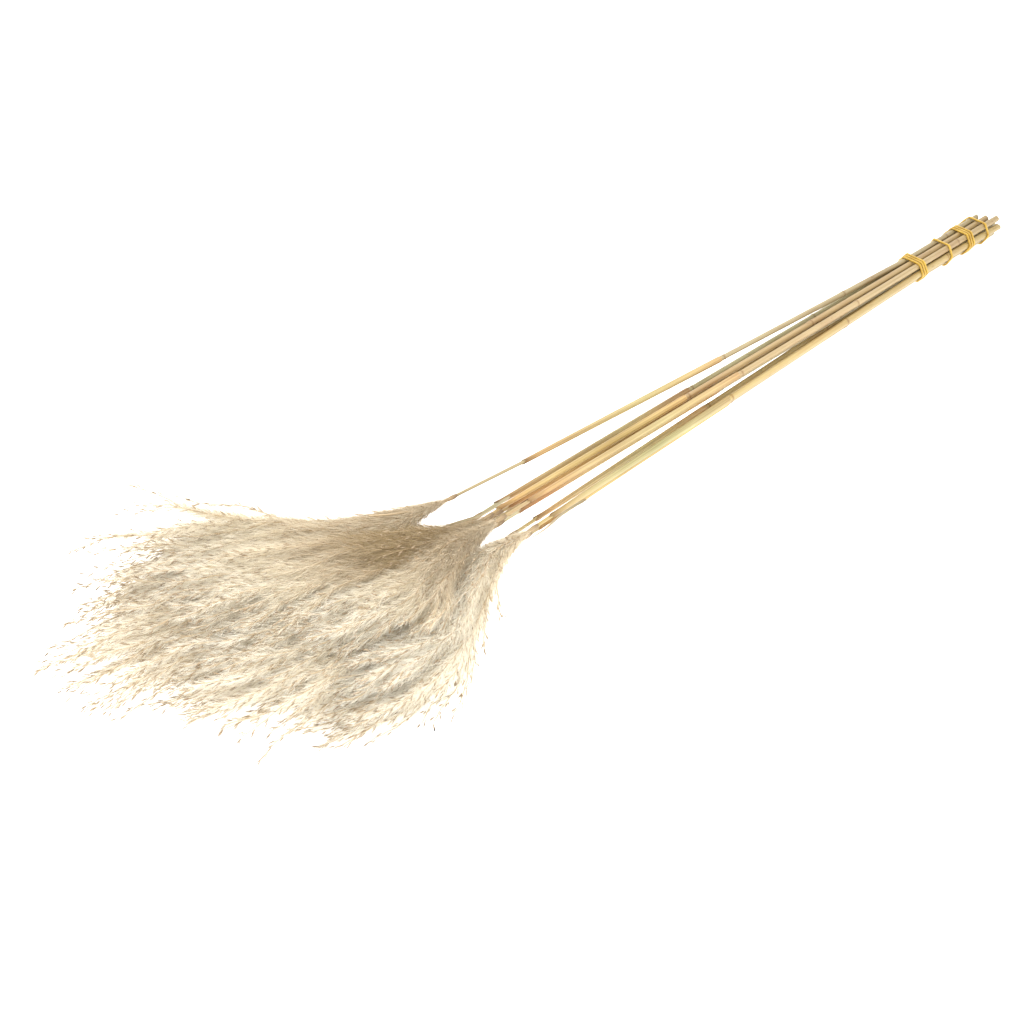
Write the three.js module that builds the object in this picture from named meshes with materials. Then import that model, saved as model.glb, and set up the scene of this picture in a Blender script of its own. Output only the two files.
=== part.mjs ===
// A dried bundle of miscanthus: ten cut culms with their leaf sheaths and plumes, held by two rubber bands.
// Millimetres, +Z up. The bundle lies on the floor z = 0 along X: cut ends at +X, plumes at -X.
import * as THREE from 'three';

// ---- Driving dimensions -----------------------------------------------------------------------------
// "Along" is the distance from the cut ends towards the plumes.
const BUNDLE_LENGTH = 762;
const PLUME_LENGTH = 238;
const CULM_DIAMETER = 4.8;
const CULM_GAP = 0.35;
const PLUME_START_HEIGHT = 42;
const BUNDLE_SLANT = 60;
const PLUME_SWAY = 66;

const WAIST_ALONG = 106;
const FLARE_ALONG = 60;
const FLARE = 1.13;

const FAN_PITCH_Y = 6.6;
const FAN_PITCH_Z = 6.6;
const PLUME_COLUMN = 43;
const PLUME_ROW = 25;
const PLUME_GAP = 1.2;
const PLUME_FLAT_DEPTH = 1.5;
const BOTTOM_ROW_STRETCH = 4 / 3;
const PLUME_GROWN_BY = 0.55;
const PLUME_CLOSES_FROM = 0.62;
const PLUME_CLOSING = 0.97;
const PLUME_SQUARENESS = 0.72;

const SEAT_GAP = 0.3;
const SHEATH_WALL = 0.4;
const NODE_SWELL = 1.14;
const NODE_HALF_WIDTH = 1.6;
const INTERNODE = 128;
const NODE_BELOW_SHEATH = 4;
const NODE_CLEAR_OF_CUT = 20;
const TAPER_AT_SHEATH = 0.74;
const TAPER_AT_PLUME = 0.4;

const STRAND_DIAMETER = 1.6;
const STRAND_GAP = 0.3;
const HANDOVER_SHARE = 0.4;
const WAIST_TILT = 0.7;
const END_TILT = -0.8;
const END_ALONG = 44;
const END_STRAY_TURNS = [22, 71];

const CULM_SIDES = 8;
const CULM_MIDDLE_STATIONS = [200, 300];
const SHEATH_STATIONS = [0, 0.35, 0.7, 1];
const PLUME_SIDES = 16;
const PLUME_STATIONS = 13;
const STRAND_SIDES = 6;
const STEPS_PER_TURN = 24;

// ---- Worked out from them ---------------------------------------------------------------------------
const CULM_RADIUS = CULM_DIAMETER / 2;
const PITCH = CULM_DIAMETER + CULM_GAP;
const ROW_PITCH = PITCH * Math.sqrt(3) / 2;
const PLUME_ALONG = BUNDLE_LENGTH - PLUME_LENGTH;
const STRAND_PITCH = STRAND_DIAMETER + STRAND_GAP;
const WAIST_TURNS = [-1, 0, 1].map((turn) => WAIST_ALONG + turn * STRAND_PITCH);
const END_CLUSTER = [-1, 0, 1].map((turn) => END_ALONG + turn * STRAND_PITCH);
const END_TURNS = [END_STRAY_TURNS[0], ...END_CLUSTER, END_STRAY_TURNS[1]];

// Where each culm sits in the bundle: column and row in the packed section, how wide its base is,
// how far its cut end is set back, where its plume starts and how far the plume reaches, how long
// the bare stalk above its sheath is, the length of the sheath, its sideways bow, how far it strays
// from the bundle at the plumes, and its straw colour.
const CULMS = [
  { col: -1, row: -1, girth: 0.94, setBack: 5, start: -13, reach: 0.65, bare: 12, sheath: 168, bow: -0.4,
    stray: [-6, -3.5], straw: 0xcdb98d },
  { col: 0, row: -1, girth: 1.0, setBack: 1, start: -8, reach: 0.87, bare: 20, sheath: 150, bow: -0.2,
    stray: [-6, -3.5], straw: 0xd8bf86 },
  { col: 1, row: -1, girth: 0.9, setBack: 9, start: -2, reach: 0.96, bare: 26, sheath: 181, bow: 0.5,
    stray: [0, 0], straw: 0xc9b07c },
  { col: -1.5, row: 0, girth: 1.0, setBack: 3, start: -15, reach: 0.61, bare: 15, sheath: 160, bow: -0.6,
    stray: [-6, -3.5], straw: 0xd9b877 },
  { col: -0.5, row: 0, girth: 0.97, setBack: 0, start: 0, reach: 0.82, bare: 17, sheath: 174, bow: 0.3,
    stray: [0, 0], straw: 0xe0cf9f },
  { col: 0.5, row: 0, girth: 0.93, setBack: 6, start: -5, reach: 1.0, bare: 9, sheath: 152, bow: -0.4,
    stray: [0, 0], straw: 0xc8a668 },
  { col: 1.5, row: 0, girth: 0.98, setBack: 8, start: 3, reach: 0.84, bare: 14, sheath: 165, bow: 0.6,
    stray: [0, 0], straw: 0xbfb487 },
  { col: -1, row: 1, girth: 0.95, setBack: 2, start: 1, reach: 0.59, bare: 22, sheath: 186, bow: -0.3,
    stray: [0, 0], straw: 0xd2a96f },
  { col: 0, row: 1, girth: 0.91, setBack: 7, start: 4, reach: 0.74, bare: 8, sheath: 158, bow: 0.4,
    stray: [0, 0], straw: 0xcf9f63 },
  { col: 1, row: 1, girth: 0.88, setBack: 12, start: 14, reach: 0.72, bare: 52, sheath: 170, bow: 0.2,
    stray: [9, 7], straw: 0xbfa878 },
];

// ---- Small helpers ----------------------------------------------------------------------------------
const clamp01 = (value) => THREE.MathUtils.clamp(value, 0, 1);
const ease = (value, from, to) => THREE.MathUtils.smoothstep(value, from, to);
const lerp = THREE.MathUtils.lerp;
const twoDigits = (number) => String(number).padStart(2, '0');

// A smooth curve through [along, value] knots that never overshoots between them.
function curveThrough(knots) {
  const rise = knots.slice(1).map(([along, value], k) => (value - knots[k][1]) / (along - knots[k][0]));
  const slope = knots.map((_, k) => {
    if (k === 0) return rise[0];
    if (k === knots.length - 1) return rise[k - 1];
    if (rise[k - 1] * rise[k] <= 0) return 0;
    return 2 * rise[k - 1] * rise[k] / (rise[k - 1] + rise[k]);
  });
  return (along) => {
    if (along <= knots[0][0]) return knots[0][1];
    const next = knots.findIndex(([knotAlong]) => knotAlong >= along);
    if (next < 0) return knots[knots.length - 1][1];
    const [fromAlong, fromValue] = knots[next - 1];
    const [toAlong, toValue] = knots[next];
    const span = toAlong - fromAlong;
    const t = (along - fromAlong) / span;
    const u = 1 - t;
    return u * u * (1 + 2 * t) * fromValue + t * t * (3 - 2 * t) * toValue
      + t * u * span * (u * slope[next - 1] - t * slope[next]);
  };
}

// ---- The bundle's field: where a column and row of the section lie at each distance along ----------
const inPlumes = (fraction) => PLUME_ALONG + fraction * PLUME_LENGTH;

const columnPitch = curveThrough([
  [0, PITCH * FLARE],
  [FLARE_ALONG, PITCH],
  [WAIST_ALONG, PITCH],
  [PLUME_ALONG, FAN_PITCH_Y],
  [inPlumes(0.17), PLUME_COLUMN * 0.46],
  [inPlumes(0.39), PLUME_COLUMN * 0.88],
  [inPlumes(0.6), PLUME_COLUMN],
  [inPlumes(1), PLUME_COLUMN * 0.7],
]);

const rowPitch = curveThrough([
  [0, ROW_PITCH * FLARE],
  [FLARE_ALONG, ROW_PITCH],
  [WAIST_ALONG, ROW_PITCH],
  [PLUME_ALONG, FAN_PITCH_Z],
  [inPlumes(0.2), PLUME_ROW * 0.7],
  [inPlumes(0.42), PLUME_ROW],
  [inPlumes(0.75), PLUME_ROW * 0.97],
  [inPlumes(1), PLUME_ROW * 0.66],
]);

const liftInPlumes = curveThrough([
  [PLUME_ALONG, PLUME_START_HEIGHT - 1.5 * FAN_PITCH_Z + PLUME_FLAT_DEPTH],
  [inPlumes(0.34), 0],
]);

// The height of the bundle's middle at the cut ends, so that the end band's first turn just meets the
// floor under the lowest row.
function cutEndHeight() {
  const share = END_TURNS[0] / PLUME_ALONG;
  const below = rowPitch(END_TURNS[0]) + CULM_RADIUS * NODE_SWELL + STRAND_GAP + STRAND_DIAMETER;
  return (below - PLUME_START_HEIGHT * share) / (1 - share);
}

function centreY(along) {
  const intoPlumes = clamp01((along - PLUME_ALONG) / PLUME_LENGTH);
  return -BUNDLE_SLANT * Math.min(along, PLUME_ALONG) / PLUME_ALONG + PLUME_SWAY * intoPlumes ** 2;
}

function centreZ(along) {
  if (along > PLUME_ALONG) return 1.5 * rowPitch(along) - PLUME_FLAT_DEPTH + liftInPlumes(along);
  return lerp(cutEndHeight(), PLUME_START_HEIGHT, along / PLUME_ALONG);
}

// The middle of one culm, or of its plume, at a distance along.
function placeOf(culm, along) {
  const fanned = clamp01((along - WAIST_ALONG) / (PLUME_ALONG - WAIST_ALONG));
  const strayed = fanned * (1 - ease(along, PLUME_ALONG, inPlumes(0.5)));
  const bowed = culm.bow * Math.sin(Math.PI * fanned);
  const widened = culm.row < 0 ? lerp(1, BOTTOM_ROW_STRETCH, ease(along, PLUME_ALONG, inPlumes(0.4))) : 1;
  return {
    y: centreY(along) + culm.col * widened * columnPitch(along) + culm.stray[0] * strayed + bowed,
    z: centreZ(along) + culm.row * rowPitch(along) + culm.stray[1] * strayed,
    columnHalf: widened * columnPitch(along) / 2 - PLUME_GAP / 2,
    rowHalf: rowPitch(along) / 2 - PLUME_GAP / 2,
  };
}

// ---- Solids built from rings of points --------------------------------------------------------------
function solid(vertices, triangles) {
  const geometry = new THREE.BufferGeometry();
  geometry.setAttribute('position', new THREE.Float32BufferAttribute(vertices.flat(), 3));
  geometry.setIndex(triangles.flat());
  geometry.computeVertexNormals();
  return geometry;
}

// Side faces between ring k and ring next, facing out when the rings turn from +Y to +Z and run to -X.
function band(triangles, ring, next, sides) {
  for (let j = 0; j < sides; j += 1) {
    const i = (j + 1) % sides;
    triangles.push([ring + j, next + i, ring + i], [ring + j, next + j, next + i]);
  }
}

function circle(along, place, radius, sides) {
  return Array.from({ length: sides }, (_, j) => {
    const angle = 2 * Math.PI * (j + 0.5) / sides;
    return [-along, place.y + radius * Math.cos(angle), place.z + radius * Math.sin(angle)];
  });
}

// A closed solid through rings, with a flat face on the first and the last ring.
function loft(rings) {
  const sides = rings[0].length;
  const triangles = [];
  for (let k = 0; k + 1 < rings.length; k += 1) band(triangles, k * sides, (k + 1) * sides, sides);
  const last = (rings.length - 1) * sides;
  for (let j = 1; j + 1 < sides; j += 1) {
    triangles.push([0, j, j + 1], [last, last + j + 1, last + j]);
  }
  return solid(rings.flat(), triangles);
}

// A closed tube wall: the outer rings out, the inner rings back, the last joined to the first.
function tubeWall(outerRings, innerRings) {
  const rings = [...outerRings, ...innerRings.toReversed()];
  const sides = rings[0].length;
  const triangles = [];
  rings.forEach((_, k) => band(triangles, k * sides, ((k + 1) % rings.length) * sides, sides));
  return solid(rings.flat(), triangles);
}

// ---- Culms and their leaf sheaths -------------------------------------------------------------------
const culmEnd = (culm) => PLUME_ALONG + culm.start;
const sheathEnd = (culm) => culmEnd(culm) - culm.bare;
const sheathStart = (culm) => sheathEnd(culm) - culm.sheath;

function culmRadius(culm, along) {
  const atBase = CULM_RADIUS * culm.girth;
  const taper = curveThrough([[0, 1], [sheathStart(culm), TAPER_AT_SHEATH], [culmEnd(culm), TAPER_AT_PLUME]]);
  return atBase * taper(along);
}

function culmNodes(culm) {
  const nodes = [];
  const lowest = culm.setBack + NODE_CLEAR_OF_CUT;
  const highest = sheathStart(culm) - NODE_BELOW_SHEATH;
  for (let along = highest; along > lowest; along -= INTERNODE) nodes.push(along);
  return nodes;
}

function culmSolid(culm) {
  const nodes = culmNodes(culm);
  const swollen = nodes.flatMap((along) => [-2, -1, 1, 2].map((step) => along + step * NODE_HALF_WIDTH));
  const bends = [FLARE_ALONG, WAIST_ALONG, ...CULM_MIDDLE_STATIONS];
  const plain = [culm.setBack, ...bends, sheathEnd(culm), culmEnd(culm)]
    .filter((along) => nodes.every((node) => Math.abs(node - along) > 3 * NODE_HALF_WIDTH));
  const stations = [...swollen, ...plain].sort((a, b) => a - b);
  return loft(stations.map((along) => {
    const onNode = nodes.some((node) => Math.abs(node - along) < 1.5 * NODE_HALF_WIDTH);
    const radius = culmRadius(culm, along) * (onNode ? NODE_SWELL : 1);
    return circle(along, placeOf(culm, along), radius, CULM_SIDES);
  }));
}

function sheathSolid(culm) {
  const stations = SHEATH_STATIONS.map((t) => lerp(sheathStart(culm), sheathEnd(culm), t));
  const ringsAt = (clearance) => stations.map((along) => {
    const radius = culmRadius(culm, along) + clearance;
    return circle(along, placeOf(culm, along), radius, CULM_SIDES);
  });
  return tubeWall(ringsAt(SEAT_GAP + SHEATH_WALL), ringsAt(SEAT_GAP));
}

// ---- Plumes -----------------------------------------------------------------------------------------
// A rounded box section that widens from the culm's own size to its share of the fan.
function plumeRing(culm, along, t) {
  const place = placeOf(culm, along);
  const grown = ease(t, 0, PLUME_GROWN_BY);
  const closing = Math.sqrt(1 - PLUME_CLOSING * ease(t, PLUME_CLOSES_FROM, 1) ** 2);
  const stalk = culmRadius(culm, culmEnd(culm));
  const halfY = lerp(stalk, place.columnHalf, grown) * closing;
  const halfZ = lerp(stalk, place.rowHalf, grown) * closing;
  const squareness = lerp(1, PLUME_SQUARENESS, grown);
  return Array.from({ length: PLUME_SIDES }, (_, j) => {
    const angle = 2 * Math.PI * (j + 0.5) / PLUME_SIDES;
    const cos = Math.cos(angle);
    const sin = Math.sin(angle);
    const y = place.y + halfY * Math.sign(cos) * Math.abs(cos) ** squareness;
    const z = place.z + halfZ * Math.sign(sin) * Math.abs(sin) ** squareness;
    return [-along, y, Math.max(z, 0)];
  });
}

function plumeSolid(culm) {
  const from = culmEnd(culm) + SEAT_GAP;
  const to = inPlumes(culm.reach);
  const rings = Array.from({ length: PLUME_STATIONS }, (_, k) => {
    const t = k / (PLUME_STATIONS - 1);
    return plumeRing(culm, lerp(from, to, t), t);
  });
  return loft(rings);
}

// ---- Rubber bands -----------------------------------------------------------------------------------
// The point of a strand held tight around the culms, where the outward direction has this angle.
function strandPoint(angle, along, layer) {
  const out = new THREE.Vector3(0, Math.cos(angle), Math.sin(angle));
  const reachOf = (culm) => {
    const place = placeOf(culm, along);
    const radius = culmRadius(culm, along) * NODE_SWELL;
    return { place, radius, reach: place.y * out.y + place.z * out.z + radius };
  };
  const outer = CULMS.map(reachOf).reduce((best, next) => (next.reach > best.reach ? next : best));
  const offset = outer.radius + STRAND_GAP + STRAND_DIAMETER / 2 + layer * STRAND_PITCH;
  const point = new THREE.Vector3(-along, outer.place.y, outer.place.z).addScaledVector(out, offset);
  return { point, out };
}

// One closed strand wound around the culms, a turn at each place in the list. Behind the bundle each
// turn hands over to the next, and the last one crosses back over the others to the first.
function rubberBand(turnPlaces, tilt) {
  const turns = turnPlaces.length;
  const steps = turns * STEPS_PER_TURN;
  const path = Array.from({ length: steps }, (_, k) => {
    const turn = Math.floor(k / STEPS_PER_TURN);
    const share = k / STEPS_PER_TURN - turn;
    const angle = 2 * Math.PI * (share + HANDOVER_SHARE / 2);
    const handover = clamp01((share - 1 + HANDOVER_SHARE) / HANDOVER_SHARE);
    const next = turnPlaces[(turn + 1) % turns];
    const along = lerp(turnPlaces[turn], next, ease(handover, 0.1, 0.9)) + tilt * Math.sin(angle);
    const crosses = turn === turns - 1;
    const layer = crosses ? ease(handover, 0, 0.2) * (1 - ease(handover, 0.8, 1)) : 0;
    return strandPoint(angle, along, layer);
  });
  const rings = path.map(({ point, out }, k) => {
    const before = path[(k + steps - 1) % steps].point;
    const after = path[(k + 1) % steps].point;
    const tangent = after.clone().sub(before).normalize();
    const side = new THREE.Vector3().crossVectors(out, tangent).normalize();
    const up = new THREE.Vector3().crossVectors(tangent, side);
    return Array.from({ length: STRAND_SIDES }, (_, j) => {
      const angle = 2 * Math.PI * j / STRAND_SIDES;
      const radius = STRAND_DIAMETER / 2;
      return point.clone()
        .addScaledVector(up, radius * Math.cos(angle))
        .addScaledVector(side, radius * Math.sin(angle))
        .toArray();
    });
  });
  const triangles = [];
  rings.forEach((_, k) => band(triangles, k * STRAND_SIDES, ((k + 1) % steps) * STRAND_SIDES, STRAND_SIDES));
  return solid(rings.flat(), triangles);
}

// ---- The bundle -------------------------------------------------------------------------------------
const bundle = new THREE.Group();

function addPiece(name, geometry, colour, roughness) {
  const material = new THREE.MeshStandardMaterial({ color: colour, roughness, metalness: 0 });
  const mesh = new THREE.Mesh(geometry, material);
  mesh.name = name;
  bundle.add(mesh);
}

CULMS.forEach((culm, index) => {
  const number = twoDigits(index + 1);
  addPiece(`culm_${number}`, culmSolid(culm), culm.straw, 0.5);
  addPiece(`sheath_${number}`, sheathSolid(culm), 0xc79c62, 0.55);
  addPiece(`plume_${number}`, plumeSolid(culm), 0xe9dcc0, 0.95);
});
addPiece('rubber_band_waist', rubberBand(WAIST_TURNS, WAIST_TILT), 0xe0a52c, 0.45);
addPiece('rubber_band_end', rubberBand(END_TURNS, END_TILT), 0xe2aa34, 0.45);

// The origin is the middle of the bundle's box, on the floor.
const middle = new THREE.Box3().setFromObject(bundle).getCenter(new THREE.Vector3());
bundle.position.set(-middle.x, -middle.y, 0);

export default bundle;
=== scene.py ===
import math

import bpy
import numpy as np
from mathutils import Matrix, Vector


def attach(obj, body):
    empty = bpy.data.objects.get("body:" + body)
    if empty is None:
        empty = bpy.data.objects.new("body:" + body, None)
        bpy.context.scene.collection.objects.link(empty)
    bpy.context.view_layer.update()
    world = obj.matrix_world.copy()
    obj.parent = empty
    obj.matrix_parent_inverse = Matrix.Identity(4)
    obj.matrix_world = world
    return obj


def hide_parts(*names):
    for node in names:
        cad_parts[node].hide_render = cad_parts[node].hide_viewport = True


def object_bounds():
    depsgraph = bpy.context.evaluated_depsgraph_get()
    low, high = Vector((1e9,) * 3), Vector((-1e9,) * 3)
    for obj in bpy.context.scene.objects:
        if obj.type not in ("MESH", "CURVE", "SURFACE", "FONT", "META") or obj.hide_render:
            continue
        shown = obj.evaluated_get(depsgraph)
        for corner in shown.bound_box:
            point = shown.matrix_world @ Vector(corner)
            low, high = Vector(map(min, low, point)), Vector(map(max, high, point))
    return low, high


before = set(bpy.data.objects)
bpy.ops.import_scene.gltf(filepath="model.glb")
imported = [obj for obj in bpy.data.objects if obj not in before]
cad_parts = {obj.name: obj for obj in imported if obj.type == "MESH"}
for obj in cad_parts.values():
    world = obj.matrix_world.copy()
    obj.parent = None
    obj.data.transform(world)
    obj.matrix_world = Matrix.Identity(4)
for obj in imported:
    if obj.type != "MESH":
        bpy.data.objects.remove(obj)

CAD_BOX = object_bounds()
MM = 0.001
TAU = 2 * math.pi
CULM_COUNT = 10
NUMBERS = [f"{number:02d}" for number in range(1, CULM_COUNT + 1)]
LOWEST = 0.3 * MM             # soft parts keep this far above the surface

# ---- Driving sizes of culms, sheaths and bands ----
SWOLLEN_BY = 1.06             # a CAD section this much wider than the taper is part of a node
TAPER_WINDOW = 30 * MM        # longer than a node, so that its smallest radius is the taper's
NODE_SWELL = 0.14             # of the radius at a node
NODE_HALF_LENGTH = 2.0 * MM
NODE_STAIN_HALF_LENGTH = 0.8 * MM
SCAR_DEPTH = 0.1              # of the radius, in the groove that a lost leaf left at a node
SCAR_HALF_LENGTH = 0.45 * MM
CUT_RINGS = [                 # of the cut end, from its edge inward: share of the radius and depth
    (1.0, 0.0),
    (0.93, -0.15 * MM),
    (0.8, 0.0),
    (0.72, 0.5 * MM),
    (0.4, 0.35 * MM),
    (0.05, 0.45 * MM),
]
HARD_WALL_FROM = 0.9          # share of the radius where the smooth wall of the culm starts
PITH_ROUGHNESS = 0.1 * MM
WALL_ROUGHNESS = 0.03 * MM
CAD_SHEATH_SIDES = 8
SHEATH_TURNS = 1.14           # round the culm, so that its edges overlap
SHEATH_WALL = 0.13 * MM
SHEATH_OVERLAP = 0.16 * MM
SHEATH_CLEARANCE = 0.12 * MM
SHEATH_LOOSENESS = 0.35       # share of the CAD sheath's room that the dry leaf takes up
SHEATH_TEAR = 2.2 * MM        # ragged ends of its mouth
STRAND_WIDTH = 1.5 * MM
STRAND_CLEARANCE = 0.1 * MM
WAIST_TURNS = [103.3 * MM, 106.0 * MM, 108.8 * MM]    # from the cut ends
WAIST_TILT = 1.0 * MM
END_TURNS = [22 * MM, 41.2 * MM, 44 * MM, 46.7 * MM, 71 * MM]
END_TILT = -1.1 * MM

# ---- Driving sizes of the plumes ----
RACEMES = 56                  # branches of one plume
RACEME_STEPS = 48
RACEME_WAVES = ((2.3, 1.3 * MM), (5.1, 0.5 * MM))       # waves along a raceme and their size
GOLDEN_TURN = 0.381966        # of a whole turn, which spreads the racemes evenly over the section
STALK_RADIUS = (0.4 * MM, 0.22 * MM)                    # of a raceme, at its foot and its tip
SPIKELET_STEP = 4.2 * MM      # along a raceme, from one pair of spikelets to the next
SPIKELET_LENGTH = 4.0 * MM
SPIKELET_LENGTHS = (0.85, 1.12)    # least and greatest, as shares of it
SPIKELET_WIDTH = 0.78 * MM
SPIKELET_WIDTHS = (0.8, 1.15)
PEDICELS = ((1.2 * MM, 0.3, 0.0), (2.6 * MM, 0.4, 0.7))     # of a pair: length, lean and turn
HAIRS_PER_METRE = 14000       # silky hairs along a raceme
HAIRS_BEFORE_THINNING = 113000    # at most, in one plume, which leaves under 100,000
BARE_OUTSIDE = 0.7            # share of hair missing from the lower half of a plume's outermost racemes
BARE_AT_TIP = 0.6             # and from the tip of every raceme
HAIR_LENGTH = 11.5 * MM
HAIR_LENGTHS = (0.6, 1.15)    # least and greatest, as shares of it
HAIR_WIDTH = 0.13 * MM
HAIR_OPENING = 0.6            # how far the hairs spread from the raceme, for each unit along it
HAIR_STAYS_OPEN = 0.45        # share of its opening that a hair keeps in its outer part
HAIR_STRAYING = 0.25
TIP_FLARE = 9 * MM            # of the raceme tips, outward
FRONT_FLARE = 17 * MM         # and further toward -Y
NARROW_FRONT_FLARE = 7 * MM   # on the plumes of FRONT_NARROWING
WIDENING = 0.24               # of a plume, for each unit of its length
LOW_ROW_BELOW = 36 * MM       # height of the middle of a plume's highest section
MIDDLE_ROW_BELOW = 52 * MM
ROW_FILL = {                  # share of the space filled upward and downward, and droop
    "low": (1.25, 0.9, 0),
    "middle": (1.25, 1.25, 4 * MM),
    "top": (0.6, 1.35, 7 * MM),
}
ROOM_LOW = np.array(CAD_BOX[0]) + np.array([-18, -9, 0.5]) * MM     # corners of the racemes' room
ROOM_HIGH = np.array(CAD_BOX[1]) + np.array([0, 9, 7]) * MM
ROOM_SOFTNESS = 6 * MM

# What sets single plumes apart, by their numbers: shares of their length or half width, and lengths
FRONT_SHORTENING = {"01": 0.55, "02": 0.3, "04": 0.6, "05": 0.0, "08": 0.45}    # of racemes toward -Y
USUAL_FRONT_SHORTENING = 0.12
BACK_SHORTENING = {"03": 0.28, "06": 0.1, "07": 0.15, "10": 0.12}    # of racemes toward +Y
REACH = {"02": 0.96, "03": 0.97, "07": 0.97, "10": 1.04}    # of the whole plume
FRONT_LEAN = {"01": 4 * MM, "02": 7 * MM, "05": 14 * MM, "06": 5 * MM}    # of its tip toward -Y
FRONT_NARROWING = {"01": 0.6, "04": 0.6, "08": 0.7}           # of its -Y side
DIP = {"10": 14 * MM}         # of a plume that sags in the middle, its tips rising again
BACK_FLARE = {                # of the raceme tips that leave toward +Y: sideways and up
    "06": (5 * MM, 9 * MM),
    "07": (14 * MM, 14 * MM),
    "09": (5 * MM, 9 * MM),
    "10": (26 * MM, 26 * MM),
}

# Tone of the hair, from 0, brown, to 1, near white
FOOT_TONE = 0.47
TONE_TO_TIP = 0.35            # added along the plume
TONE_OF_RIPENESS = 0.22       # added along each raceme
TONE_SPREAD = 0.05
# The heart's brown is partly the hair's own colour and partly painted shade where the racemes lie densest
HEART_AT = 0.36               # share of a plume's length where its heart is brownest
HEART_HALF_LENGTH = 0.24
HEART_DEPTH = 0.45
HEART_BROWN_AND_SHADE = {"05": 0.7, "06": 0.65, "08": 0.55, "09": 1.0, "10": 0.25}    # shares of that depth
# Added to a plume's tone: partly its own paleness and partly painted light where above 0 and painted shade
# where below 0
PALENESS_AND_PAINTED_LIGHT = {"01": 0.12, "02": 0.08, "04": 0.12, "06": -0.04, "08": -0.03, "09": -0.08, "10": -0.06}

# ---- Driving values of the studio ----
CAMERA_AZIMUTH = math.radians(-41.4)
CAMERA_ELEVATION = math.radians(38)
CAMERA_DISTANCE = 0.9123
CAMERA_TARGET = Vector((-0.1311, -0.0228, 0.040))
LENS = 60
SENSOR = 36
LIGHTS = {                    # place, size and power
    "key": ((-0.7, 0.5, 1.8), 1.4, 11),
    "fill": ((1.2, 0.9, 1.4), 1.6, 3),
    "front": ((-1.0, -1.3, 0.9), 1.4, 5),
}
LIT_POINT = Vector((0, 0, 0.03))
SKY_STRENGTH = 1.6
FLOOR_SIZE = 12
FLOOR_GLOW = 0.8


# ---- Reading the CAD nodes ----
def node_points(name):
    """The vertices of a CAD node, shape (n, 3)."""
    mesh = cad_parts[name].data
    points = np.empty(len(mesh.vertices) * 3)
    mesh.vertices.foreach_get("co", points)
    return points.reshape(-1, 3)


class Stations:
    """The sections of a node at each X where its vertices lie, read by interpolation along X."""

    def __init__(self, name):
        points = node_points(name)
        at = np.round(points[:, 0], 5)
        self.x = np.unique(at)
        sections = [points[at == x] for x in self.x]
        low = np.array([section.min(axis=0) for section in sections])
        high = np.array([section.max(axis=0) for section in sections])
        self.middle = (low + high) / 2
        self.half = (high - low) / 2
        spread = [section[:, 1:] - section[:, 1:].mean(axis=0) for section in sections]
        self.radius = np.array([np.hypot(*offset.T).mean() for offset in spread])

    def read(self, x, values):
        return np.interp(x, self.x, values)

    def centre(self, x):
        x = np.asarray(x, dtype=float)
        return np.stack([x, self.read(x, self.middle[:, 1]), self.read(x, self.middle[:, 2])], axis=-1)


# ---- Meshes ----
def finish_piece(mesh, node, materials):
    """Links a mesh as a piece of the same name that rides on the bundle and stands for a CAD node."""
    for material in materials:
        mesh.materials.append(material)
    piece = bpy.data.objects.new(mesh.name, mesh)
    bpy.context.scene.collection.objects.link(piece)
    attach(piece, "root")
    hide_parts(node)
    return piece


def mesh_from(name, points, faces, slots=None, attributes=None):
    """A smooth mesh from numpy arrays: points (n, 3), faces (m, 3 or 4), a material index for each face."""
    mesh = bpy.data.meshes.new(name)
    count, corners = faces.shape
    mesh.vertices.add(len(points))
    mesh.vertices.foreach_set("co", np.ascontiguousarray(points, dtype=np.float32).ravel())
    mesh.loops.add(count * corners)
    mesh.loops.foreach_set("vertex_index", np.ascontiguousarray(faces, dtype=np.int32).ravel())
    mesh.polygons.add(count)
    mesh.polygons.foreach_set("loop_start", np.arange(0, count * corners, corners, dtype=np.int32))
    if slots is not None:
        mesh.polygons.foreach_set("material_index", np.asarray(slots, dtype=np.int32))
    mesh.polygons.foreach_set("use_smooth", np.ones(count, dtype=bool))
    mesh.update(calc_edges=True)
    for attribute, values in (attributes or {}).items():
        values = np.asarray(values, dtype=np.float32)
        layer = mesh.attributes.new(attribute, "FLOAT" if values.ndim == 1 else "FLOAT_VECTOR", "POINT")
        layer.data.foreach_set("value" if values.ndim == 1 else "vector", values.ravel())
    return mesh


def set_bake_map(mesh, faces, u, v):
    """A UV map named OFBake that the colour can be baked through: the two numbers for each point that set the
    colour.
    """
    places = np.stack([u, v], axis=-1)[faces.ravel()]
    layer = mesh.uv_layers.new(name="OFBake")
    layer.data.foreach_set("uv", np.ascontiguousarray(places, dtype=np.float32).ravel())


def grid_faces(rings, sides, closed=False):
    """Quads between rings of points, the last ring joined to the first if closed."""
    k = np.arange(rings if closed else rings - 1)[:, None]
    j = np.arange(sides)[None, :]
    after = (k + 1) % rings
    beside = (j + 1) % sides
    corners = [k * sides + j, k * sides + beside, after * sides + beside, after * sides + j]
    return np.stack(np.broadcast_arrays(*corners), axis=-1).reshape(-1, 4)


def unit(vectors):
    """The vectors at length 1."""
    return vectors / np.maximum(np.linalg.norm(vectors, axis=-1, keepdims=True), 1e-12)


def smoothstep(value, low, high):
    """0 up to low, 1 from high on, and a smooth rise between them."""
    t = np.clip((value - low) / (high - low), 0, 1)
    return t * t * (3 - 2 * t)


# ---- Materials ----
def shaded(colour, share):
    """A colour made darker, or lighter if the share is over 1."""
    return tuple(share * c for c in colour)


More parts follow.
